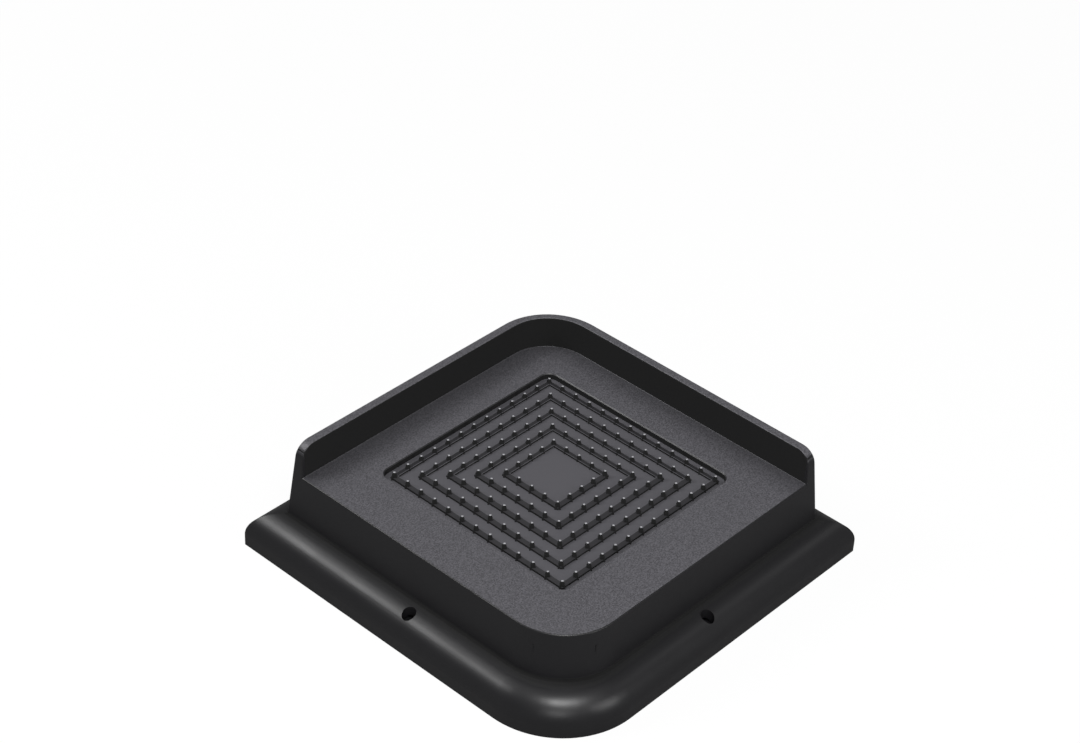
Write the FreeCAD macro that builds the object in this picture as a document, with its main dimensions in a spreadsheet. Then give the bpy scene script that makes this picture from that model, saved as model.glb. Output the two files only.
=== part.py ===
import FreeCAD, Part
import math
import os

import Sketcher

# Bed riser: one moulded piece that stands under a furniture leg.
# Millimetres, +Z up, origin at the middle of the underside on the floor.
# The raised rim stands along the +X and +Y sides; the other two sides are open.

NODE = "bed_riser"
RINGS = 5
STUDS_ON_OUTER_SIDE = 12
STUD_SIDES = 4
WEBS_EACH_SIDE = 3

doc = FreeCAD.newDocument("bed_riser_part")

# Driving dimensions: name, value, meaning

DIMENSIONS = [
    ("flange_reach", 8.175, "how far the foot flange stands out from the wall"),
    ("base_round", 24.6, "plan radius of the two rounded flange corners"),
    ("flange_top", 11.0, "height of the flange where it meets the wall"),
    ("crease_round", 0.8, "radius in the crease between wall and flange"),
    ("lift", 25.4, "height of the deck above the floor"),
    ("wall_half", 49.6, "half the width of the block at deck level"),
    ("draft", 4.86, "draft of the outer walls in degrees"),
    ("front_round", 17.0, "plan radius of the front corner at deck level"),
    ("rim_rise", 9.6, "height of the rim above the deck"),
    ("rim_round", 17.6, "plan radius of the rim corner at its top"),
    ("rim_thick", 3.8, "thickness of the rim at deck level"),
    ("rim_inner_round", 13.4, "plan radius inside the rim corner at deck level"),
    ("rim_draft", 2.1, "draft of the rim's inner face in degrees"),
    ("rim_end_round", 4.4, "radius that drops the rim's free ends"),
    ("edge_break", 0.4, "bevel on the deck and rim edges"),
    ("recess_half", 33.3, "half the width of the square grip recess"),
    ("recess_depth", 1.82, "depth of the recess at its outer channel"),
    ("recess_round", 3.0, "plan radius of the recess corners"),
    ("recess_break", 0.25, "bevel on the recess's upper edge"),
    ("step_rise", 0.36, "rise from one step of the grip to the next"),
    ("channel_width", 2.07, "clear width of the channel around the grip"),
    ("rib_spacing", 5.28, "distance from one rib to the next"),
    ("rib_width", 1.5, "width of each rib"),
    ("rib_height", 0.55, "height of a rib above the step inside it"),
    ("rib_crest", 0.2, "width of the flat crest along a rib's inner edge"),
    ("rib_fall", 0.28, "fall of the rib top towards its outer edge"),
    ("rib_root", 1.0, "depth to which the grip runs into the deck's floor"),
    ("stud_base", 2.5, "width of a stud over the corners of its foot"),
    ("stud_tip", 0.8, "width of a stud over the corners of its tip"),
    ("stud_height", 1.25, "height of a stud above its rib's crest"),
    ("stud_root", 0.1, "depth to which a stud's foot runs into the step"),
    ("hole_size", 3.8, "diameter of the screw holes"),
    ("hole_inset", 4.3, "distance of each screw hole from the flange's edge"),
    ("shell_thick", 3.0, "wall thickness of the hollow underside"),
    ("floor_thick", 3.2, "thickness left under the recess"),
    ("web_thick", 2.0, "thickness of the stiffening webs below"),
    ("web_spacing", 12.4, "distance between the stiffening webs"),
    ("boss_size", 7.0, "diameter of the bosses around the screw holes"),
]

# Lengths and angles that follow from the driving ones
DERIVED = [
    ("wall_foot_half", "=wall_half + lift * tan(draft * 1deg)"),
    ("wall_at_flange", "=wall_foot_half - flange_top * tan(draft * 1deg)"),
    ("base_half", "=wall_at_flange + flange_reach"),
    ("flange_roll", "=flange_reach - crease_round * 0.95"),
    ("rim_top", "=lift + rim_rise"),
    ("rim_end_now", "=min(rim_end_round; rim_rise * 0.75)"),
    ("front_foot_round", "=front_round + lift * tan(draft * 1deg)"),
    ("rear_foot_round", "=rim_round + rim_top * tan(draft * 1deg)"),
    ("rim_inner_half", "=wall_half - rim_thick"),
    ("recess_floor", "=lift - recess_depth"),
    ("rib_half", "=recess_half - channel_width - rib_width / 2"),
    ("hollow_top", "=lift - recess_depth - floor_thick"),
    ("hollow_half", "=wall_foot_half - shell_thick"),
    ("hollow_front_round", "=front_foot_round - shell_thick"),
    ("hollow_rear_round", "=rear_foot_round - shell_thick"),
    ("web_half", "=hollow_half + shell_thick * 0.18"),
    ("hole_reach", "=base_half - hole_inset"),
    ("boss_height", "=flange_top - flange_roll * 0.615"),
    ("flange_hollow_half", "=base_half - shell_thick"),
    ("flange_hollow_round", "=base_round - shell_thick"),
    ("flange_hollow_top", "=flange_top - shell_thick"),
    ("flange_hollow_bevel", "=(flange_roll - shell_thick) * 0.6"),
    ("stud_foot_depth", "=rib_height + step_rise + stud_root"),
    ("stud_run", "=(stud_base - stud_tip) / 2 * cos(180deg / %d)" % STUD_SIDES),
    ("stud_slope", "=atan(stud_run / (stud_height + stud_foot_depth)) / 1deg"),
]

sheet = doc.addObject("Spreadsheet::Sheet", "params")
for row, (name, value, note) in enumerate(DIMENSIONS, start=1):
    sheet.set("A%d" % row, name)
    sheet.set("B%d" % row, str(value))
    sheet.set("C%d" % row, note)
    sheet.setAlias("B%d" % row, name)
doc.recompute()
for row, (name, formula) in enumerate(DERIVED, start=len(DIMENSIONS) + 2):
    sheet.set("A%d" % row, name)
    sheet.set("B%d" % row, formula)
    sheet.setAlias("B%d" % row, name)
doc.recompute()
KNOWN = {item[0] for item in DIMENSIONS} | {item[0] for item in DERIVED}

body = doc.addObject("PartDesign::Body", "riser")
body.Label = NODE
grip = doc.addObject("PartDesign::Body", "grip")
grip.Label = "grip"


def size(name):
    """Return a size from the sheet as a plain number."""
    value = sheet.get(name)
    return float(getattr(value, "Value", value))


def bind(item, prop, formula):
    """Tie a property or a sketch constraint to sizes of the sheet."""
    words = ["params." + word if word in KNOWN else word for word in formula.split()]
    item.setExpression(prop, " ".join(words))


def work_out(formula):
    """Work out a formula of sums and products of sheet sizes."""
    total, sign, factor = 0.0, 1.0, 1.0
    for word in formula.split():
        if word == "+":
            sign, factor = 1.0, 1.0
        elif word == "-":
            sign, factor = -1.0, 1.0
        elif word == "*":
            factor = term
            total -= sign * term
        else:
            term = factor * (size(word) if word in KNOWN else float(word))
            total += sign * term
    return total


def origin_part(owner, role):
    """Return one of a body's own origin planes or axes."""
    return next(item for item in owner.Origin.OriginFeatures if item.Role == role)


def level_sketch(name, height=None, owner=body):
    """Start a sketch parallel to the floor, at a height given by a formula."""
    sketch = owner.newObject("Sketcher::SketchObject", name)
    sketch.AttachmentSupport = [(origin_part(owner, "XY_Plane"), "")]
    sketch.MapMode = "FlatFace"
    if height is not None:
        bind(sketch, "AttachmentOffset.Base.z", height)
    return sketch


def dimension(sketch, constraint, name, formula):
    """Add a named dimension to a sketch and tie it to the sheet."""
    tag = sketch.addConstraint(constraint)
    sketch.renameConstraint(tag, name)
    bind(sketch, "Constraints." + name, formula)


def draw_outline(sketch, sides, rounds, tag="outline"):
    """Draw a rectangle whose corners may be rounded.

    Args:
        sketch: the sketch that takes the outline.
        sides: formulas of the distances to the low Y, high X, high Y and low X
            sides, each measured from the middle.
        rounds: formula of the radius, or None, of the corners that begin those
            four sides: front, right, rear and left.
        tag: a word for the names of the dimensions.
    """
    reach = [work_out(item) for item in sides]
    radii = [work_out(item) if item else 0.0 for item in rounds]
    corners = [
        (-reach[3], -reach[0]),
        (reach[1], -reach[0]),
        (reach[1], reach[2]),
        (-reach[3], reach[2]),
    ]
    runs = [(1, 0), (0, 1), (-1, 0), (0, -1)]
    lines = []
    for index, run in enumerate(runs):
        after = (index + 1) % 4
        start = FreeCAD.Vector(
            corners[index][0] + run[0] * radii[index],
            corners[index][1] + run[1] * radii[index],
            0,
        )
        end = FreeCAD.Vector(
            corners[after][0] - run[0] * radii[after],
            corners[after][1] - run[1] * radii[after],
            0,
        )
        line = sketch.addGeometry(Part.LineSegment(start, end), False)
        kind = "Horizontal" if index % 2 == 0 else "Vertical"
        sketch.addConstraint(Sketcher.Constraint(kind, line))
        lines.append(line)
    for index, run in enumerate(runs):
        before, after = lines[index - 1], lines[index]
        if not rounds[index]:
            sketch.addConstraint(Sketcher.Constraint("Coincident", before, 2, after, 1))
            continue
        into = runs[index - 1]
        radius = radii[index]
        centre = FreeCAD.Vector(
            corners[index][0] + (run[0] - into[0]) * radius,
            corners[index][1] + (run[1] - into[1]) * radius,
            0,
        )
        circle = Part.Circle(centre, FreeCAD.Vector(0, 0, 1), radius)
        opening = math.pi + index * math.pi / 2
        arc = sketch.addGeometry(Part.ArcOfCircle(circle, opening, opening + math.pi / 2), False)
        sketch.addConstraint(Sketcher.Constraint("Tangent", before, 2, arc, 1))
        sketch.addConstraint(Sketcher.Constraint("Tangent", arc, 2, after, 1))
        radius_now = Sketcher.Constraint("Radius", arc, radius)
        dimension(sketch, radius_now, "%s_round_%d" % (tag, index), rounds[index])
    for index, line in enumerate(lines):
        kind = "DistanceY" if index % 2 == 0 else "DistanceX"
        low = index in (0, 3)
        ends = (line, 1, -1, 1) if low else (-1, 1, line, 1)
        distance = Sketcher.Constraint(kind, *ends, reach[index])
        dimension(sketch, distance, "%s_side_%d" % (tag, index), sides[index])


def draw_square(sketch, half, rounds=(None, None, None, None)):
    """Draw a square about the middle."""
    draw_outline(sketch, [half] * 4, list(rounds))


def draw_circles(sketch, places, diameter):
    """Draw circles of one size, each at an X and a Y formula with their signs."""
    across = work_out(diameter)
    for index, (x_formula, y_formula, x_sign, y_sign) in enumerate(places):
        x = x_sign * work_out(x_formula)
        y = y_sign * work_out(y_formula)
        circle = Part.Circle(FreeCAD.Vector(x, y, 0), FreeCAD.Vector(0, 0, 1), across / 2)
        ring = sketch.addGeometry(circle, False)
        if index == 0:
            size_now = Sketcher.Constraint("Diameter", ring, across)
            dimension(sketch, size_now, "across", diameter)
        else:
            sketch.addConstraint(Sketcher.Constraint("Equal", 0, ring))
        for kind, formula, sign in (("DistanceX", x_formula, x_sign), ("DistanceY", y_formula, y_sign)):
            reach = work_out(formula)
            if sign * reach == 0.0:
                pair = (ring, 3, -2) if kind == "DistanceX" else (ring, 3, -1)
                sketch.addConstraint(Sketcher.Constraint("PointOnObject", *pair))
                continue
            ends = (-1, 1, ring, 3) if sign > 0 else (ring, 3, -1, 1)
            distance = Sketcher.Constraint(kind, *ends, reach)
            dimension(sketch, distance, "%s_%d" % (kind.lower(), index), formula)


def draw_polygon(sketch, reach, across):
    """Draw a regular polygon on the diagonal, at a formula's reach in X and Y.

    Args:
        sketch: the sketch that takes the polygon.
        reach: formula of the X and the Y of its middle.
        across: formula of the diameter over its corners.
    """
    middle = work_out(reach)
    radius = work_out(across) / 2
    points = []
    for side in range(STUD_SIDES):
        angle = 2 * math.pi * side / STUD_SIDES
        offset = FreeCAD.Vector(radius * math.cos(angle), radius * math.sin(angle), 0)
        points.append(FreeCAD.Vector(middle, middle, 0) + offset)
    guide = Part.Circle(FreeCAD.Vector(middle, middle, 0), FreeCAD.Vector(0, 0, 1), radius)
    circle = sketch.addGeometry(guide, True)
    dimension(sketch, Sketcher.Constraint("Diameter", circle, 2 * radius), "across", across)
    dimension(sketch, Sketcher.Constraint("DistanceX", -1, 1, circle, 3, middle), "middle_x", reach)
    dimension(sketch, Sketcher.Constraint("DistanceY", -1, 1, circle, 3, middle), "middle_y", reach)
    lines = []
    for side in range(STUD_SIDES):
        line = Part.LineSegment(points[side], points[(side + 1) % STUD_SIDES])
        lines.append(sketch.addGeometry(line, False))
    for side, line in enumerate(lines):
        sketch.addConstraint(Sketcher.Constraint("Coincident", lines[side - 1], 2, line, 1))
        sketch.addConstraint(Sketcher.Constraint("PointOnObject", line, 1, circle))
        if side:
            sketch.addConstraint(Sketcher.Constraint("Equal", lines[0], line))
    flat = Sketcher.Constraint("DistanceY", circle, 3, lines[0], 1, 0.0)
    sketch.addConstraint(flat)


def pad(name, sketch, length, taper=None, owner=body):
    """Raise a sketch into the body, narrowing by a taper where one is given."""
    feature = owner.newObject("PartDesign::Pad", name)
    feature.Profile = sketch
    bind(feature, "Length", length)
    if taper is not None:
        bind(feature, "TaperAngle", taper)
    doc.recompute()
    return feature


def pocket(name, sketch, length, upward=False, taper=None, owner=body):
    """Cut a sketch out of the body, down from its level or up from it."""
    before = owner.Shape.Volume
    feature = owner.newObject("PartDesign::Pocket", name)
    feature.Profile = sketch
    feature.Reversed = upward
    bind(feature, "Length", length)
    if taper is not None:
        bind(feature, "TaperAngle", taper)
    doc.recompute()
    if feature.Shape.Volume > before - 0.1:
        raise ValueError(name + " cuts nothing")
    return feature


def fillet(name, base, radius, test, kind="PartDesign::Fillet"):
    """Round or bevel every edge of the base feature that the test picks."""
    picked = []
    for index, edge in enumerate(base.Shape.Edges, start=1):
        if test(edge, edge.BoundBox):
            picked.append("Edge%d" % index)
    if not picked:
        raise ValueError(name + " finds no edge")
    feature = body.newObject(kind, name)
    feature.Base = (base, picked)
    bind(feature, "Radius" if kind == "PartDesign::Fillet" else "Size", radius)
    doc.recompute()
    return feature


def draft_faces(name, base, angle, foot=0.0):
    """Lean every upright face of the base feature about the flat face at its foot."""
    owner = base.getParentGeoFeatureGroup()
    picked = []
    neutral = None
    for index, face in enumerate(base.Shape.Faces, start=1):
        if face.BoundBox.ZLength > 0.5:
            picked.append("Face%d" % index)
        elif flat_at(face.BoundBox, foot):
            neutral = "Face%d" % index
    feature = owner.newObject("PartDesign::Draft", name)
    feature.Base = (base, picked)
    feature.NeutralPlane = (base, [neutral])
    bind(feature, "Angle", angle)
    doc.recompute()
    return feature


def chamfer(name, base, across, down, height, owner=body):
    """Slope the upper edges of the base feature that lie flat at a height.

    Args:
        name: the feature's name.
        base: the feature whose edges are cut.
        across: formula of the width of the slope on top.
        down: formula of its fall on the side.
        height: where the edges lie.
        owner: the body that it belongs to.
    """
    picked = []
    for index, edge in enumerate(base.Shape.Edges, start=1):
        if flat_at(edge.BoundBox, height):
            picked.append("Edge%d" % index)
    feature = owner.newObject("PartDesign::Chamfer", name)
    feature.Base = (base, picked)
    feature.ChamferType = "Two distances"
    bind(feature, "Size", down)
    bind(feature, "Size2", across)
    doc.recompute()
    return feature


def edge_reach(edge):
    """Return how far the middle of an edge lies from the middle of the part."""
    middle = edge.valueAt((edge.FirstParameter + edge.LastParameter) / 2)
    return max(abs(middle.x), abs(middle.y))


def near_side():
    """Return a distance from the middle that lies just inside the open sides."""
    return 0.85 * size("wall_half")


def flat_at(box, height, slack=0.01):
    """Tell whether a box lies flat at a height."""
    return abs(box.ZMin - height) < slack and abs(box.ZMax - height) < slack


# Drafted block that carries the deck and the rim

outline = level_sketch("wall_outline")
draw_square(outline, "wall_foot_half", ("front_foot_round", None, "rear_foot_round", None))
block = pad("block", outline, "rim_top")
walls = draft_faces("walls", block, "draft")

# Foot flange: a low block whose top rolls over to an upright edge

outline = level_sketch("flange_outline")
draw_square(outline, "base_half", ("base_round", None, "base_round", None))
flange = pad("flange", outline, "flange_top")


def on_flange_top(box, outer):
    """Tell whether an edge lies on the flange top, on its outer side or at the wall."""
    reach = max(abs(box.XMin), abs(box.XMax), abs(box.YMin), abs(box.YMax))
    return flat_at(box, size("flange_top")) and (reach > size("wall_at_flange") + 2) == outer


flange_roll = fillet(
    "flange_roll_over",
    flange,
    "flange_roll",
    lambda edge, box: on_flange_top(box, True),
)
crease = fillet(
    "crease",
    flange_roll,
    "crease_round",
    lambda edge, box: on_flange_top(box, False) and edge_reach(edge) < size("wall_at_flange") + 0.1,
)

# Seat: everything above the deck inside the rim is cut away

outline = level_sketch("seat_outline", "lift")
open_side = "wall_half + 5"
draw_outline(
    outline,
    [open_side, "rim_inner_half", "rim_inner_half", open_side],
    [None, None, "rim_inner_round", None],
)
seat = pocket("seat", outline, "rim_rise + 1", upward=True, taper="rim_draft")

# Free ends of the rim drop in a round


def is_rim_end(edge, box):
    """Pick the short edges across the rim's two free ends."""
    across = edge.Length < 1.5 * size("rim_thick")
    return flat_at(box, size("rim_top")) and across and min(box.XMax, box.YMax) < -near_side()


rim_ends = fillet(
    "rim_ends",
    seat,
    "rim_end_now",
    is_rim_end,
)

# Hollow underside, a shell of even thickness

outline = level_sketch("hollow_outline")
draw_square(outline, "hollow_half", ("hollow_front_round", None, "hollow_rear_round", None))
hollow = pocket("hollow", outline, "hollow_top", upward=True, taper="0 - draft")
outline = level_sketch("flange_hollow_outline")
draw_square(outline, "flange_hollow_half", ("flange_hollow_round", None, "flange_hollow_round", None))
flange_hollow = pocket("flange_hollow", outline, "flange_hollow_top", upward=True)


def is_hollow_roof(edge, box):
    """Pick the outer edge of the flange hollow's roof."""
    outer = max(abs(box.XMin), abs(box.XMax), abs(box.YMin), abs(box.YMax))
    return flat_at(box, size("flange_hollow_top")) and outer > size("flange_hollow_half") - 0.1


hollow_roll = fillet(
    "hollow_roll_over",
    flange_hollow,
    "flange_hollow_bevel",
    is_hollow_roof,
    kind="PartDesign::Chamfer",
)

# Deck, rim and upright edges are broken by a small radius


def is_outer_edge(edge, box):
    """Pick the deck's outer edge, the rim's upper edges and the sharp uprights."""
    middle = edge.valueAt((edge.FirstParameter + edge.LastParameter) / 2)
    if flat_at(box, size("rim_top")):
        return True
    if flat_at(box, size("lift")):
        return min(middle.x, middle.y) < -near_side() and max(box.XMax, box.YMax) < size("rim_inner_half") + 0.1
    if box.ZMin > size("lift") - 0.1 and min(middle.x, middle.y) < -near_side():
        return True
    upright = box.ZLength > 0.8 * (size("rim_top") - size("rim_end_now") - size("flange_top"))
    upright = upright and middle.x * middle.y < 0
    return upright and abs(middle.x + middle.y) < 0.1


edges_broken = fillet("edges_broken", hollow_roll, "edge_break", is_outer_edge)

# Square recess in the deck

outline = level_sketch("recess_outline", "lift")
draw_square(outline, "recess_half", ("recess_round",) * 4)
recess = pocket("recess", outline, "recess_depth")
recess_edge = fillet(
    "recess_edge",
    recess,
    "recess_break",
    lambda edge, box: flat_at(box, size("lift")) and max(box.XMax, box.YMax) < size("recess_half") + 0.1,
    kind="PartDesign::Chamfer",
)

# Grip: square steps that rise inward, each edged by a raised rib that falls outward

for ring in range(RINGS):
    middle_line = "rib_half - rib_spacing * %d" % ring
    low = "recess_floor + step_rise * %d" % ring
    start = low
    height = "step_rise + rib_height"
    if ring == 0:
        start = low + " - rib_root"
        height += " + rib_root"
    outline = level_sketch("rib_%d_outline" % ring, start, grip)
    draw_square(outline, middle_line + " + rib_width * 0.5")
    rib = pad("rib_%d" % ring, outline, height, owner=grip)
    crest = work_out(low + " + step_rise + rib_height")
    slope = chamfer("rib_%d_slope" % ring, rib, "rib_width - rib_crest", "rib_fall", crest, grip)
    outline = level_sketch("step_%d_outline" % ring, low + " + step_rise + rib_height", grip)
    draw_square(outline, middle_line + " - rib_width * 0.5")
    pocket("step_%d" % ring, outline, "rib_height", owner=grip)

# Studs: small faceted cones at an even pitch along every rib, with one on each corner

rows = []
for ring in range(RINGS):
    studs = doc.addObject("PartDesign::Body", "studs_%d" % ring)
    studs.Label = "studs_%d" % ring
    studs.AllowCompound = True
    pitches = STUDS_ON_OUTER_SIDE - 2 * ring
    half = "rib_half - rib_spacing * %d" % ring
    crest = "recess_floor + step_rise * %d + rib_height" % (ring + 1)
    foot_level = crest + " - stud_foot_depth"
    foot = level_sketch("stud_%d_foot" % ring, foot_level, studs)
    draw_polygon(foot, half, "stud_base")
    prism = pad("stud_%d_prism" % ring, foot, "stud_height + stud_foot_depth", owner=studs)
    stud = draft_faces("stud_%d" % ring, prism, "stud_slope", work_out(foot_level))
    along = studs.newObject("PartDesign::LinearPattern", "along_rib_%d" % ring)
    along.Direction = (origin_part(studs, "Y_Axis"), [""])
    along.Reversed = True
    bind(along, "Length", "2 * ( %s ) * %d / %d" % (half, pitches - 1, pitches))
    along.Occurrences = pitches
    around = studs.newObject("PartDesign::PolarPattern", "around_%d" % ring)
    around.Axis = (origin_part(studs, "Z_Axis"), [""])
    around.Angle = 360
    around.Occurrences = 4
    row = studs.newObject("PartDesign::MultiTransform", "row_%d" % ring)
    row.TransformMode = "Whole shape"
    row.Transformations = [along, around]
    studs.Tip = row
    doc.recompute()
    rows.append(studs)

# Stiffening webs cross in the hollow underside

for name in ("across", "along"):
    outline = level_sketch("webs_%s_outline" % name)
    for place in range(-WEBS_EACH_SIDE, WEBS_EACH_SIDE + 1):
        low = "web_thick * 0.5 - web_spacing * %d" % place
        high = "web_thick * 0.5 + web_spacing * %d" % place
        sides = [low, "web_half", high, "web_half"]
        if name == "along":
            sides = ["web_half", high, "web_half", low]
        draw_outline(outline, sides, [None] * 4, "web_%d" % (place + WEBS_EACH_SIDE))
    pad("webs_%s" % name, outline, "hollow_top + 0.5")

# Bosses that carry the screws down to the floor, and their holes

HOLES = [
    ("hole_reach", "0", 1, 1),
    ("hole_reach", "0", -1, 1),
    ("0", "hole_reach", 1, 1),
    ("0", "hole_reach", 1, -1),
]
outline = level_sketch("boss_outline")
draw_circles(outline, HOLES, "boss_size")
pad("bosses", outline, "boss_height")
outline = level_sketch("hole_outline")
draw_circles(outline, HOLES, "hole_size")
pocket("screw_holes", outline, "flange_top + 1", upward=True)

# The grip is moulded in one with the riser

joined = body.newObject("PartDesign::Boolean", "moulded_in_one")
joined.setObjects([grip] + rows)
joined.Type = "Fuse"
body.Tip = joined
doc.recompute()

# Checks and export

doc.recompute()
for item in doc.Objects:
    if "Invalid" in item.State or "Error" in item.State:
        raise ValueError("%s failed: %s" % (item.Name, item.State))
shape = body.Shape
if shape.isNull() or not shape.isValid():
    raise ValueError(NODE + " has no valid shape")
if len(shape.Solids) != 1:
    raise ValueError(NODE + " is not one solid")
os.makedirs("parts", exist_ok=True)
shape.exportStep("parts/%s.step" % NODE)
box = shape.optimalBoundingBox(False)
print(NODE, "volume", round(shape.Volume, 1), "faces", len(shape.Faces))
print("size", round(box.XLength, 3), round(box.YLength, 3), round(box.ZLength, 3))
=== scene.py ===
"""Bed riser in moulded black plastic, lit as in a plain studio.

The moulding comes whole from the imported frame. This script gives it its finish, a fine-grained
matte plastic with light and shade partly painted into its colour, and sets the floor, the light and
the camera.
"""

from __future__ import annotations

import logging
import math
from dataclasses import dataclass, field
from enum import Enum
from typing import Sequence

import bpy
from mathutils import Matrix, Vector

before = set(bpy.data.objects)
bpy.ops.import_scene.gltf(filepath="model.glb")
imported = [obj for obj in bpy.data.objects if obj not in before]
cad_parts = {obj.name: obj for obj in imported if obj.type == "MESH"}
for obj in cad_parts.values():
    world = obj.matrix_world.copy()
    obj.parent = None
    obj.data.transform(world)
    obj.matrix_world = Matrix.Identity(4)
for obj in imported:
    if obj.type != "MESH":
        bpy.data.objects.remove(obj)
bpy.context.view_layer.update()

log = logging.getLogger("bed_riser")

Colour = tuple[float, float, float, float]
Point = tuple[float, float, float]
Span = tuple[float, float]

WHITE: Colour = (1.0, 1.0, 1.0, 1.0)


class Node(Enum):
    """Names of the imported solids."""

    RISER = "bed_riser"


class Slot(Enum):
    """Names of the record's material slots."""

    BODY = "moulded_body"


# Shader helpers


@dataclass
class Graph:
    """A node tree with short calls for adding nodes and links.

    Args:
        tree: the node tree that is built.
    """

    tree: bpy.types.NodeTree

    def add(self, kind: str, **settings: object) -> bpy.types.Node:
        """Add a node and set its properties.

        Args:
            kind: the node's type name.
            settings: properties of the node, by name.

        Returns:
            The new node.
        """
        node = self.tree.nodes.new(kind)
        for name, value in settings.items():
            setattr(node, name, value)
        return node

    def link(self, source: bpy.types.NodeSocket, target: bpy.types.NodeSocket) -> None:
        """Link an output to an input.

        Args:
            source: the output.
            target: the input.
        """
        self.tree.links.new(source, target)

    def feed(self, target: bpy.types.NodeSocket, value: object) -> None:
        """Give an input a link or a plain value.

        Args:
            target: the input.
            value: an output to link, or a value to set.
        """
        if isinstance(value, bpy.types.NodeSocket):
            self.link(value, target)
        else:
            target.default_value = value

    def take(self, name: str) -> bpy.types.NodeSocket:
        """Find what comes into the group that this tree belongs to.

        Args:
            name: the group's input.

        Returns:
            The output that carries it inside the group.
        """
        return self.tree.nodes["Group Input"].outputs[name]

    def give(self, name: str, value: bpy.types.NodeSocket) -> None:
        """Send a value out of the group that this tree belongs to.

        Args:
            name: the group's output.
            value: the value.
        """
        self.link(value, self.tree.nodes["Group Output"].inputs[name])

    def math(self, operation: str, *values: object, clamp: bool = False) -> bpy.types.NodeSocket:
        """Add a math node.

        Args:
            operation: the operation's name.
            values: links or numbers for the inputs in turn.
            clamp: whether the result stays between 0 and 1.

        Returns:
            The node's output.
        """
        node = self.add("ShaderNodeMath", operation=operation, use_clamp=clamp)
        for socket, value in zip(node.inputs, values):
            self.feed(socket, value)
        return node.outputs[0]

    def split(self, vector: bpy.types.NodeSocket) -> tuple[bpy.types.NodeSocket, ...]:
        """Split a vector.

        Args:
            vector: the vector.

        Returns:
            Its X, Y and Z.
        """
        node = self.add("ShaderNodeSeparateXYZ")
        self.link(vector, node.inputs["Vector"])
        return tuple(node.outputs)

    def ramp(self, value: object, span: Span, result: Span = (0.0, 1.0)) -> bpy.types.NodeSocket:
        """Map a range of values smoothly onto another.

        Args:
            value: the link that is mapped.
            span: the values where the map starts and ends.
            result: the results at the start and at the end.

        Returns:
            The mapped value.
        """
        node = self.add("ShaderNodeMapRange", interpolation_type="SMOOTHSTEP")
        self.feed(node.inputs["Value"], value)
        node.inputs["From Min"].default_value = span[0]
        node.inputs["From Max"].default_value = span[1]
        node.inputs["To Min"].default_value = result[0]
        node.inputs["To Max"].default_value = result[1]
        return node.outputs["Result"]

    def noise(
        self, vector: object, scale: float, detail: float = 2.0, roughness: float = 0.5
    ) -> bpy.types.NodeSocket:
        """Add a noise texture in the object's own metres.

        Args:
            vector: the coordinates.
            scale: features per metre.
            detail: octaves.
            roughness: weight of the finer octaves.

        Returns:
            The noise value.
        """
        node = self.add("ShaderNodeTexNoise", noise_dimensions="3D")
        self.feed(node.inputs["Vector"], vector)
        node.inputs["Scale"].default_value = scale
        node.inputs["Detail"].default_value = detail
        node.inputs["Roughness"].default_value = roughness
        return node.outputs["Fac"]

    def mix(self, factor: object, first: object, second: object) -> bpy.types.NodeSocket:
        """Mix two colours.

        Args:
            factor: share of the second.
            first: link or colour.
            second: link or colour.

        Returns:
            The mixed colour.
        """
        node = self.add("ShaderNodeMix", data_type="RGBA")
        self.feed(node.inputs["Factor"], factor)
        self.feed(node.inputs["A"], first)
        self.feed(node.inputs["B"], second)
        return node.outputs["Result"]


def new_group(
    name: str, inputs: Sequence[tuple[str, str]], outputs: Sequence[tuple[str, str]]
) -> Graph:
    """Make a shader node group with its sockets.

    Args:
        name: the group's name.
        inputs: socket types and names that go in.
        outputs: socket types and names that come out.

    Returns:
        The group's graph, with its input and output nodes in place.
    """
    tree = bpy.data.node_groups.new(name, "ShaderNodeTree")
    for kind, label in inputs:
        tree.interface.new_socket(label, in_out="INPUT", socket_type=kind)
    for kind, label in outputs:
        tree.interface.new_socket(label, in_out="OUTPUT", socket_type=kind)
    tree.nodes.new("NodeGroupInput")
    tree.nodes.new("NodeGroupOutput")
    return Graph(tree)


# Finishes


@dataclass(frozen=True)
class MouldGrain:
    """Fine grain that the mould leaves on textured faces.

    Args:
        grain_per_metre: fine grains per metre.
        coarse_ratio: how many coarse grains there are for each fine one along a line.
        fine_share: share of the fine grains in the height.
        coarse_share: share of the coarse grains in the height.
        speckle_span: heights between which the speckle rises from 0 to 1.
        swell_per_metre: slow swells of the surface per metre.
        swell_span: swell values between which the mottle rises from 0 to 1.
    """

    grain_per_metre: float = 2600.0
    coarse_ratio: float = 0.6
    fine_share: float = 0.7
    coarse_share: float = 0.3
    speckle_span: Span = (0.38, 0.62)
    swell_per_metre: float = 70.0
    swell_span: Span = (0.3, 0.7)

    def group(self) -> bpy.types.NodeTree:
        """Build the node group.

        Returns:
            A group that gives a height, a speckle mask and a slow mottle.
        """
        graph = new_group(
            "mould_grain",
            [("NodeSocketVector", "Vector")],
            [("NodeSocketFloat", name) for name in ("Height", "Speckle", "Mottle")],
        )
        vector = graph.take("Vector")
        fine = graph.noise(vector, self.grain_per_metre, 3.0, 0.6)
        coarse = graph.noise(vector, self.grain_per_metre * self.coarse_ratio)
        height = graph.math(
            "ADD",
            graph.math("MULTIPLY", fine, self.fine_share),
            graph.math("MULTIPLY", coarse, self.coarse_share),
        )
        graph.give("Height", height)
        graph.give("Speckle", graph.ramp(height, self.speckle_span))
        slow = graph.noise(vector, self.swell_per_metre, 3.0, 0.55)
        graph.give("Mottle", graph.ramp(slow, self.swell_span))
        return graph.tree


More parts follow.
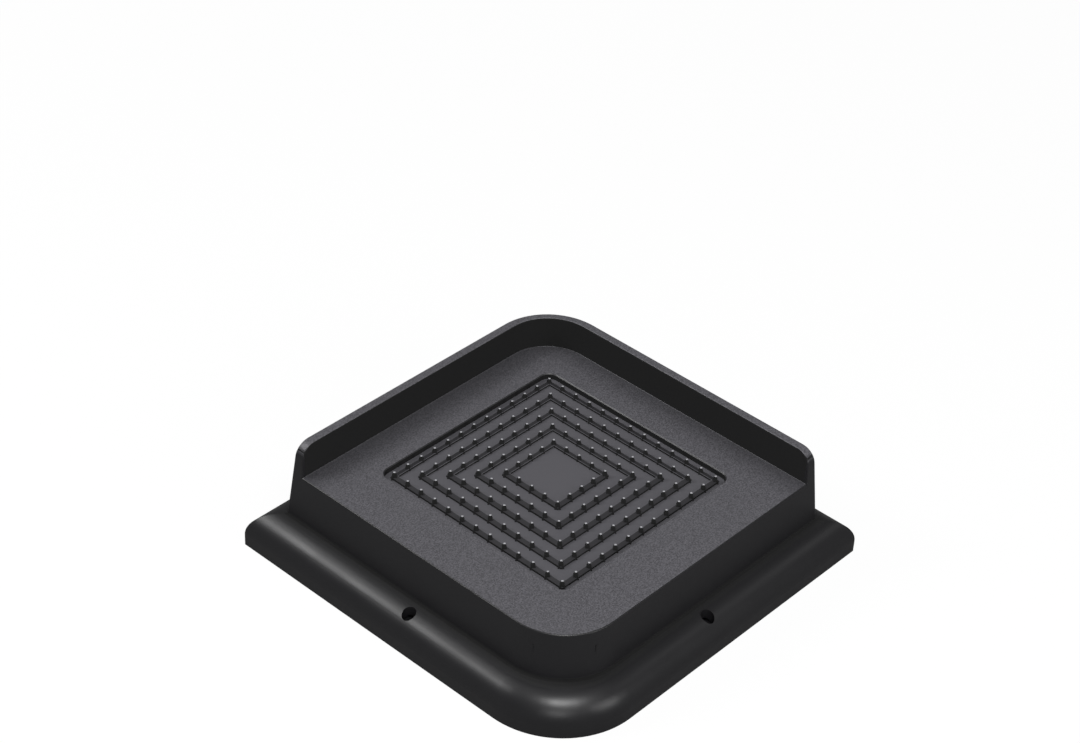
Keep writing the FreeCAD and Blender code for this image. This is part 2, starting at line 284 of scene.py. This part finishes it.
@dataclass(frozen=True)
class SoftEdges:
    """Small rounding that moulding leaves on sharp edges.

    Args:
        reach: radius of the rounding in metres.
        edge_span: agreement of the rounded and the flat normal between which the edge mask rises.
    """

    reach: float = 0.0003
    edge_span: Span = (0.995, 0.9)

    def group(self) -> bpy.types.NodeTree:
        """Build the node group.

        Returns:
            A group that rounds the normal where its input is 1, with a mask that is 1 along
            the edges there.
        """
        graph = new_group(
            "soft_edges",
            [("NodeSocketFloat", "Where")],
            [("NodeSocketVector", "Normal"), ("NodeSocketFloat", "Edge")],
        )
        bevel = graph.add("ShaderNodeBevel", samples=8)
        bevel.inputs["Radius"].default_value = self.reach
        geometry = graph.add("ShaderNodeNewGeometry")
        blend = graph.add("ShaderNodeMix", data_type="VECTOR")
        graph.link(graph.take("Where"), blend.inputs["Factor"])
        graph.link(geometry.outputs["Normal"], blend.inputs["A"])
        graph.link(bevel.outputs["Normal"], blend.inputs["B"])
        graph.give("Normal", blend.outputs["Result"])
        dot = graph.add("ShaderNodeVectorMath", operation="DOT_PRODUCT")
        graph.link(bevel.outputs["Normal"], dot.inputs[0])
        graph.link(geometry.outputs["True Normal"], dot.inputs[1])
        edge = graph.ramp(dot.outputs["Value"], self.edge_span)
        graph.give("Edge", graph.math("MULTIPLY", edge, graph.take("Where")))
        return graph.tree


@dataclass(frozen=True)
class FinishAreas:
    """Where the mould is etched, polished or dull, and where light and shade are painted into the
    colour.

    Heights and distances are in metres, and distances run from the object's middle.

    Args:
        floor_height: height above which level faces are etched and painted lighter, as if lit from
            above.
        crease_height: height of the middle of the crease between flange and walls.
        crease_span: distances from that height between which the crease's dullness and painted
            shade end.
        grip_half: half width of the grip, whose level faces carry no grain.
        tip_height: height above which only the studs' tips would stand, if the steps were level.
        step_slope: how much the steps of the grip rise per metre towards the middle.
        rim_low: height above which only the rim and the studs stand.
        rim_end: distance to which the inner faces of the rim reach.
        foot_span: distances between which painted shade darkens the deck towards the rim's foot.
        level_span: the normal's upward share between which a face turns level.
        top_span: the same for the rounded top of the rim.
        steep_span: the normal's upward share between which a face turns from steep to gentle.
        inward: sum of the normal's X and Y below which a face looks into the rim's corner.
    """

    floor_height: float = 0.0225
    crease_height: float = 0.0114
    crease_span: Span = (0.0003, 0.0006)
    grip_half: float = 0.0334
    tip_height: float = 0.02775
    step_slope: float = 0.0682
    rim_low: float = 0.0256
    rim_end: float = 0.0485
    foot_span: Span = (0.0360, 0.0470)
    level_span: Span = (0.982, 0.995)
    top_span: Span = (0.3, 0.7)
    steep_span: Span = (0.55, 0.75)
    inward: float = -0.5

    def group(self) -> bpy.types.NodeTree:
        """Build the node group.

        Returns:
            A group that gives masks of the etched level faces, which are also painted lighter, of
            their grain, of the studs' tips, which get a painted highlight, of the ribs' slopes,
            which get a painted tone, and of the steep faces in the grip and inside the rim, the
            crease and the foot of the rim, which get painted shade.
        """
        masks = ("EtchedAndLit", "Grain", "Tips", "Slopes", "Falls", "Crease", "Foot")
        graph = new_group(
            "finish_areas",
            [("NodeSocketVector", "Vector")],
            [("NodeSocketFloat", mask) for mask in masks],
        )
        x, y, z = graph.split(graph.take("Vector"))
        normal = graph.split(graph.add("ShaderNodeNewGeometry").outputs["True Normal"])
        far = graph.math("MAXIMUM", graph.math("ABSOLUTE", x), graph.math("ABSOLUTE", y))
        beyond_grip = graph.math("GREATER_THAN", far, self.grip_half)
        above_deck = graph.math("GREATER_THAN", z, self.rim_low)
        on_rim = graph.math("MULTIPLY", above_deck, beyond_grip)
        raised = graph.math("GREATER_THAN", z, self.floor_height)
        in_grip = graph.math("SUBTRACT", raised, beyond_grip, clamp=True)

        flat = graph.ramp(normal[2], self.level_span)
        rounded = graph.math("MULTIPLY", graph.ramp(normal[2], self.top_span), on_rim)
        level = graph.math("MAXIMUM", flat, rounded)
        # Level faces above the floor get the etched finish, and their lighter colour is also
        # painted light on faces that look up.
        etched_and_lit = graph.math("MULTIPLY", level, raised)
        graph.give("EtchedAndLit", etched_and_lit)
        graph.give("Grain", graph.math("MULTIPLY", etched_and_lit, beyond_grip))

        above_steps = graph.math("MULTIPLY_ADD", far, self.step_slope, z)
        tall = graph.math("GREATER_THAN", above_steps, self.tip_height)
        tall_in_grip = graph.math("SUBTRACT", tall, beyond_grip, clamp=True)
        # The studs' tips get a painted highlight.
        graph.give("Tips", graph.math("MULTIPLY", etched_and_lit, tall_in_grip))

        steep = graph.ramp(normal[2], self.steep_span, (1.0, 0.0))
        sloping = graph.math("SUBTRACT", graph.math("SUBTRACT", 1.0, steep), level, clamp=True)
        # The ribs' sloping tops get a painted tone between lit and shaded.
        graph.give("Slopes", graph.math("MULTIPLY", in_grip, sloping))
        # Steep faces in the grip and those inside the rim get painted shade.
        in_rim = graph.math("MULTIPLY", self.looks_inward(graph, x, y, normal), on_rim)
        painted_shade = graph.math("MAXIMUM", in_grip, in_rim)
        graph.give("Falls", graph.math("MULTIPLY", painted_shade, steep))

        # The crease between flange and walls gets painted shade.
        from_crease = graph.math("ABSOLUTE", graph.math("SUBTRACT", z, self.crease_height))
        graph.give("Crease", graph.ramp(from_crease, self.crease_span, (1.0, 0.0)))

        # Painted shade on the deck towards the foot of the rim.
        clear = graph.math(
            "MULTIPLY",
            graph.ramp(x, self.foot_span, (1.0, 0.0)),
            graph.ramp(y, self.foot_span, (1.0, 0.0)),
        )
        near_rim = graph.math("SUBTRACT", 1.0, clear)
        graph.give("Foot", graph.math("SUBTRACT", near_rim, on_rim, clamp=True))
        return graph.tree

    def looks_inward(
        self,
        graph: Graph,
        x: bpy.types.NodeSocket,
        y: bpy.types.NodeSocket,
        normal: Sequence[bpy.types.NodeSocket],
    ) -> bpy.types.NodeSocket:
        """Find the faces between the rim's ends that look into its corner.

        Args:
            graph: the group's graph.
            x: the place across.
            y: the place along.
            normal: the face's normal, split.

        Returns:
            A mask that is 1 on those faces.
        """
        turned = graph.math("LESS_THAN", graph.math("ADD", normal[0], normal[1]), self.inward)
        least = graph.math("MINIMUM", x, y)
        short_of_ends = graph.math("GREATER_THAN", least, -self.rim_end)
        return graph.math("MULTIPLY", turned, short_of_ends)


@dataclass(frozen=True)
class MouldedPlastic:
    """Black injection-moulded plastic, etched on its level faces, with light and shade painted into
    its colour.

    Args:
        name: the material's name.
        polished: colour of the smooth walls and the flange.
        etched_and_lit: colour of the etched level faces, partly their own lighter finish and partly
            painted light on faces that look up.
        speckled: colour of the highest grains of the etched faces.
        edge_highlight: painted highlight along the edges of the etched faces.
        tip_highlight: painted highlight on the studs' tips.
        slopes: colour of the ribs' sloping tops, a painted tone between the lit level faces and the
            shaded walls.
        painted_shade: painted shade on the steep faces of the grip and the rim and in the crease.
        foot_shade_strength: how far painted shade turns the etched colour to the dark polished one
            at the foot of the rim.
        ior: refractive index of the plastic.
        roughness: roughness of the polished faces.
        roughness_swing: how far it swings to either side.
        etched_roughness: how much rougher the etched faces are.
        edge_roughness: how much rougher their edges are, below zero for smoother.
        crease_roughness: how much rougher the crease is.
        falls_roughness: how much rougher the steep faces of the grip and the rim are.
        grain_height: height of the grain in metres.
        plain_grain: share of that height on faces without grain.
        grain: the grain of the mould.
        edges: the rounding of the edges.
        areas: where the mould is etched.
    """

    name: str = "moulded_black_plastic"
    polished: Colour = (0.0100, 0.0098, 0.0110, 1.0)
    etched_and_lit: Colour = (0.0550, 0.0538, 0.0595, 1.0)
    speckled: Colour = (0.1150, 0.1125, 0.1250, 1.0)
    edge_highlight: Colour = (0.2100, 0.2060, 0.2200, 1.0)
    tip_highlight: Colour = (0.3800, 0.3800, 0.4000, 1.0)
    slopes: Colour = (0.0260, 0.0254, 0.0280, 1.0)
    painted_shade: Colour = (0.0010, 0.0010, 0.0011, 1.0)
    foot_shade_strength: float = 0.5
    ior: float = 1.48
    roughness: float = 0.37
    roughness_swing: float = 0.02
    etched_roughness: float = 0.05
    edge_roughness: float = -0.12
    crease_roughness: float = 0.6
    falls_roughness: float = 0.5
    grain_height: float = 0.00006
    plain_grain: float = 0.1
    grain: MouldGrain = field(default_factory=MouldGrain)
    edges: SoftEdges = field(default_factory=SoftEdges)
    areas: FinishAreas = field(default_factory=FinishAreas)

    def build(self) -> bpy.types.Material:
        """Build the material.

        Returns:
            The new material.
        """
        material = bpy.data.materials.new(self.name)
        material.use_nodes = True
        graph = Graph(material.node_tree)
        shader = graph.tree.nodes["Principled BSDF"]
        place = graph.add("ShaderNodeTexCoord").outputs["Object"]
        grain = graph.add("ShaderNodeGroup", node_tree=self.grain.group())
        graph.link(place, grain.inputs["Vector"])
        areas = graph.add("ShaderNodeGroup", node_tree=self.areas.group())
        graph.link(place, areas.inputs["Vector"])
        edges = graph.add("ShaderNodeGroup", node_tree=self.edges.group())
        graph.link(areas.outputs["Grain"], edges.inputs["Where"])
        colour = self.tint(graph, grain, areas, edges)
        graph.link(colour, shader.inputs["Base Color"])
        graph.link(self.dullness(graph, grain, areas, edges), shader.inputs["Roughness"])
        graph.link(self.relief(graph, grain, areas, edges), shader.inputs["Normal"])
        shader.inputs["IOR"].default_value = self.ior
        return material

    def tint(
        self, graph: Graph, grain: bpy.types.Node, areas: bpy.types.Node, edges: bpy.types.Node
    ) -> bpy.types.NodeSocket:
        """Colour the plastic, with light and shade painted into the colour.

        Args:
            graph: the material's graph.
            grain: the grain's group.
            areas: the group of the finish areas.
            edges: the group of the edges.

        Returns:
            The colour.
        """
        uneven = graph.math("SUBTRACT", grain.outputs["Speckle"], 0.5)
        speckle = graph.math("MULTIPLY_ADD", uneven, areas.outputs["Grain"], 0.5)
        tint = graph.mix(speckle, self.etched_and_lit, self.speckled)
        # Painted highlight along the edges of the etched faces.
        tint = graph.mix(edges.outputs["Edge"], tint, self.edge_highlight)
        # Painted highlight on the studs' tips.
        tint = graph.mix(areas.outputs["Tips"], tint, self.tip_highlight)
        # Painted shade: towards the rim's foot the etched colour gives way to the dark polished
        # one.
        foot_shade_share = graph.math("MULTIPLY", areas.outputs["Foot"], self.foot_shade_strength)
        unshaded_share = graph.math("SUBTRACT", 1.0, foot_shade_share)
        # The lighter colour of the level faces is partly the etched finish and partly painted
        # light.
        tint = graph.mix(graph.math("MULTIPLY", areas.outputs["EtchedAndLit"], unshaded_share), self.polished, tint)
        # Painted tone on the ribs' sloping tops, between the lit level faces and the shaded walls.
        tint = graph.mix(areas.outputs["Slopes"], tint, self.slopes)
        # Painted shade on the steep faces of the grip and the rim, and in the crease.
        tint = graph.mix(areas.outputs["Falls"], tint, self.painted_shade)
        return graph.mix(areas.outputs["Crease"], tint, self.painted_shade)

    def dullness(
        self, graph: Graph, grain: bpy.types.Node, areas: bpy.types.Node, edges: bpy.types.Node
    ) -> bpy.types.NodeSocket:
        """Set how dull each area is.

        Args:
            graph: the material's graph.
            grain: the grain's group.
            areas: the group of the finish areas.
            edges: the group of the edges.

        Returns:
            The roughness.
        """
        limits = (self.roughness - self.roughness_swing, self.roughness + self.roughness_swing)
        rough = graph.ramp(grain.outputs["Mottle"], (0.0, 1.0), limits)
        changes = (
            (areas.outputs["EtchedAndLit"], self.etched_roughness),
            (edges.outputs["Edge"], self.edge_roughness),
            (areas.outputs["Crease"], self.crease_roughness),
            (areas.outputs["Falls"], self.falls_roughness),
        )
        for mask, change in changes:
            rough = graph.math("MULTIPLY_ADD", mask, change, rough)
        return rough

    def relief(
        self, graph: Graph, grain: bpy.types.Node, areas: bpy.types.Node, edges: bpy.types.Node
    ) -> bpy.types.NodeSocket:
        """Raise the grain on the surface.

        Args:
            graph: the material's graph.
            grain: the grain's group.
            areas: the group of the finish areas.
            edges: the group of the edges.

        Returns:
            The normal.
        """
        bump = graph.add("ShaderNodeBump")
        bump.inputs["Distance"].default_value = self.grain_height
        added = 1.0 - self.plain_grain
        depth = graph.math("MULTIPLY_ADD", areas.outputs["Grain"], added, self.plain_grain)
        height = graph.math("MULTIPLY", grain.outputs["Height"], depth)
        graph.link(height, bump.inputs["Height"])
        graph.link(edges.outputs["Normal"], bump.inputs["Normal"])
        return bump.outputs["Normal"]


@dataclass(frozen=True)
class StudioFloor:
    """Plain white floor of the studio.

    Args:
        name: the material's name.
        seen: colour of the floor to the camera.
        felt: colour of the floor as it lights the object.
        roughness: roughness of the floor.
        shown: share of plain white in what the camera sees.
        covered: radius in metres of the round patch under the part, which isn't shown white.
    """

    name: str = "studio_floor"
    seen: Colour = (0.95, 0.95, 0.95, 1.0)
    felt: Colour = (0.20, 0.20, 0.20, 1.0)
    roughness: float = 0.9
    shown: float = 0.94
    covered: float = 0.0575

    def build(self) -> bpy.types.Material:
        """Build the material.

        Returns:
            The new material.
        """
        material = bpy.data.materials.new(self.name)
        material.use_nodes = True
        graph = Graph(material.node_tree)
        matte = graph.tree.nodes["Principled BSDF"]
        matte.inputs["Roughness"].default_value = self.roughness
        matte.inputs["Specular IOR Level"].default_value = 0.0
        reach = graph.add("ShaderNodeVectorMath", operation="LENGTH")
        graph.link(graph.add("ShaderNodeTexCoord").outputs["Object"], reach.inputs["Vector"])
        open_floor = graph.math("GREATER_THAN", reach.outputs["Value"], self.covered)
        camera_ray = graph.add("ShaderNodeLightPath").outputs["Is Camera Ray"]
        shown = graph.math("MULTIPLY", camera_ray, open_floor)
        graph.link(graph.mix(shown, self.felt, self.seen), matte.inputs["Base Color"])
        white = graph.add("ShaderNodeEmission")
        white.inputs["Color"].default_value = WHITE
        blend = graph.add("ShaderNodeMixShader")
        graph.link(graph.math("MULTIPLY", shown, self.shown), blend.inputs["Fac"])
        graph.link(matte.outputs["BSDF"], blend.inputs[1])
        graph.link(white.outputs["Emission"], blend.inputs[2])
        graph.link(blend.outputs["Shader"], graph.tree.nodes["Material Output"].inputs["Surface"])
        return material


# Object


@dataclass
class Riser:
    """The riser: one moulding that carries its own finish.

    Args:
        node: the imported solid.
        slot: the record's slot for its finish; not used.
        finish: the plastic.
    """

    node: Node = Node.RISER
    slot: Slot = Slot.BODY
    finish: MouldedPlastic = field(default_factory=MouldedPlastic)

    def build(self) -> bpy.types.Object:
        """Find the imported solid.

        Returns:
            The solid's object.
        """
        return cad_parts[self.node.value]

    def dress(self, piece: bpy.types.Object) -> None:
        """Give the solid its finish.

        Args:
            piece: the solid's object.
        """
        material = self.finish.build()
        for place in piece.material_slots:
            place.material = material
        if not piece.material_slots:
            piece.data.materials.append(material)


# Studio


@dataclass(frozen=True)
class Lamp:
    """A square softbox that faces the object.

    Args:
        name: the lamp's name.
        place: where it hangs, in metres.
        width: its width and height in metres.
        radiance: brightness of its face, where 1 renders as white.
        aim: the point it faces.
    """

    name: str
    place: Point
    width: float
    radiance: float
    aim: Point = (0.0, 0.0, 0.02)

    def build(self) -> bpy.types.Object:
        """Hang the lamp.

        Returns:
            The lamp's object.
        """
        data = bpy.data.lights.new(self.name, "AREA")
        data.shape = "SQUARE"
        data.size = self.width
        data.energy = self.radiance * math.pi * self.width ** 2
        lamp = bpy.data.objects.new(self.name, data)
        lamp.location = self.place
        sight = Vector(self.aim) - Vector(self.place)
        lamp.rotation_euler = sight.to_track_quat("-Z", "Y").to_euler()
        bpy.context.scene.collection.objects.link(lamp)
        lamp.visible_camera = False
        return lamp


@dataclass
class Studio:
    """Floor, soft light and world.

    Args:
        lamps: the softboxes.
        floor_half: half the width of the floor in metres.
        floor: finish of the floor.
        room: brightness of the room around the object.
    """

    lamps: Sequence[Lamp] = (
        Lamp("overhead", (0.0, 0.0, 1.0), 0.8, 0.26),
        Lamp("above_camera", (-0.35, -0.41, 0.845), 0.3, 22.0),
        Lamp("left_high", (-0.5, 0.57, 0.63), 0.3, 11.0),
        Lamp("left_rear", (-0.2, 0.6, 0.77), 0.3, 3.1),
        Lamp("front", (-0.64, -0.6, 0.46), 0.4, 1.2),
        Lamp("front_low", (-0.7, -0.66, 0.26), 0.3, 3.2),
        Lamp("right_low", (0.1, -0.93, 0.35), 0.4, 4.4),
        Lamp("right_high", (0.64, -0.46, 0.6), 0.3, 0.8),
    )
    floor_half: float = 3.0
    floor: StudioFloor = field(default_factory=StudioFloor)
    room: float = 0.16

    def build(self) -> bpy.types.Object:
        """Lay the floor, hang the lamps and set the world.

        Returns:
            The floor's object.
        """
        half = self.floor_half
        mesh = bpy.data.meshes.new("floor")
        corners = [(-half, -half, 0.0), (half, -half, 0.0), (half, half, 0.0), (-half, half, 0.0)]
        mesh.from_pydata(corners, [], [(0, 1, 2, 3)])
        floor = bpy.data.objects.new("floor", mesh)
        bpy.context.scene.collection.objects.link(floor)
        floor.data.materials.append(self.floor.build())
        for lamp in self.lamps:
            lamp.build()
        self.light_room()
        return floor

    def light_room(self) -> None:
        """Make the world: white to the camera, a dim room to the object."""
        world = bpy.data.worlds.new("studio")
        bpy.context.scene.world = world
        world.use_nodes = True
        graph = Graph(world.node_tree)
        dome = graph.tree.nodes["Background"]
        dome.inputs["Color"].default_value = WHITE
        dome.inputs["Strength"].default_value = self.room
        white = graph.add("ShaderNodeBackground")
        white.inputs["Color"].default_value = WHITE
        blend = graph.add("ShaderNodeMixShader")
        path = graph.add("ShaderNodeLightPath")
        graph.link(path.outputs["Is Camera Ray"], blend.inputs["Fac"])
        graph.link(dome.outputs["Background"], blend.inputs[1])
        graph.link(white.outputs["Background"], blend.inputs[2])
        graph.link(blend.outputs["Shader"], graph.tree.nodes["World Output"].inputs["Surface"])


@dataclass(frozen=True)
class PhotoCamera:
    """The camera at the photograph's viewpoint.

    Args:
        place: where the camera stands, in metres.
        right: direction of the frame's right side.
        up: direction of the frame's top.
        back: direction from the scene towards the camera.
        lens: focal length in millimetres.
        sensor: width of the sensor in millimetres.
        nearest: distance in metres from which the camera sees.
    """

    place: Point = (-0.386514, -0.330196, 0.432194)
    right: Point = (0.6812842, -0.7306974, 0.0439681)
    up: Point = (0.4086929, 0.4295116, 0.8052887)
    back: Point = (-0.6073072, -0.530661, 0.5912503)
    lens: float = 80.9493
    sensor: float = 36.0
    nearest: float = 0.01

    def build(self) -> bpy.types.Object:
        """Set up the camera and make it the scene's own.

        Returns:
            The camera's object.
        """
        data = bpy.data.cameras.new("photo_camera")
        data.sensor_fit = "HORIZONTAL"
        data.sensor_width = self.sensor
        data.lens = self.lens
        data.clip_start = self.nearest
        camera = bpy.data.objects.new("photo_camera", data)
        bpy.context.scene.collection.objects.link(camera)
        turn = Matrix((self.right, self.up, self.back)).transposed()
        camera.matrix_world = Matrix.Translation(Vector(self.place)) @ turn.to_4x4()
        bpy.context.scene.camera = camera
        return camera


def main() -> None:
    """Build the camera, the studio and the dressed riser."""
    logging.basicConfig(level=logging.INFO, format="%(message)s")
    bpy.context.scene.view_settings.view_transform = "Standard"
    camera = PhotoCamera().build()
    log.info("camera %s", camera.name)
    floor = Studio().build()
    log.info("floor %s", floor.name)
    riser = Riser()
    piece = riser.build()
    riser.dress(piece)
    log.info("riser %s with %d vertices", piece.name, len(piece.data.vertices))


if __name__ == "__main__":
    main()
